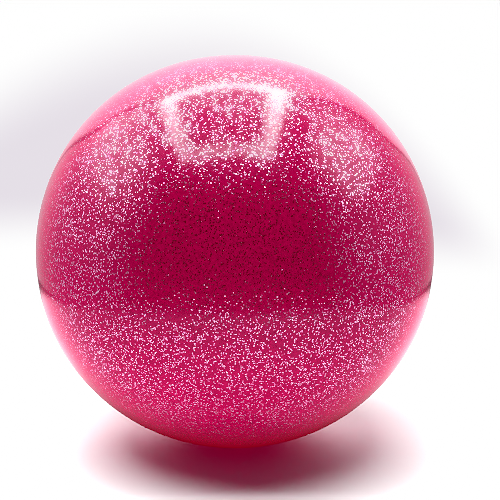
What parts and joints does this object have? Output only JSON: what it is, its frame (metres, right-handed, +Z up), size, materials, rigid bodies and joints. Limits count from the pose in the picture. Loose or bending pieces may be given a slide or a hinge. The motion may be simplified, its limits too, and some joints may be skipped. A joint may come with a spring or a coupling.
{
  "type": "rhythmic gymnastics ball",
  "caption": "Hollow inflatable rhythmic gymnastics ball, pink under a clear layer of silver glitter and a glossy skin, with a flush valve and pull-out plug.",
  "frame": {"origin": "centre of the flat patch that the ball rests on, on the floor plane", "axes": "+Z up through the ball's centre; +Y from the centre out through the valve; +X to the right when the ball is seen from the side opposite the valve"},
  "size_m": [0.185, 0.1849, 0.1814],
  "materials": {
    "pink_wall": "satin",
    "glitter": "gloss",
    "clear_skin": "gloss",
    "valve_rubber": "matte",
    "plug": "satin"
  },
  "bodies": {
    "ball": {"ball_shell": "pink_wall", "glitter_layer": "glitter", "clear_coat": "clear_skin", "valve_housing": "valve_rubber"},
    "plug": {"valve_plug": "plug"}
  },
  "joints": [
    {"name": "plug_pull", "type": "slide", "parent": "ball", "child": "plug", "axis": [0, 1, 0], "range_m": [0, 0.017]}
  ]
}
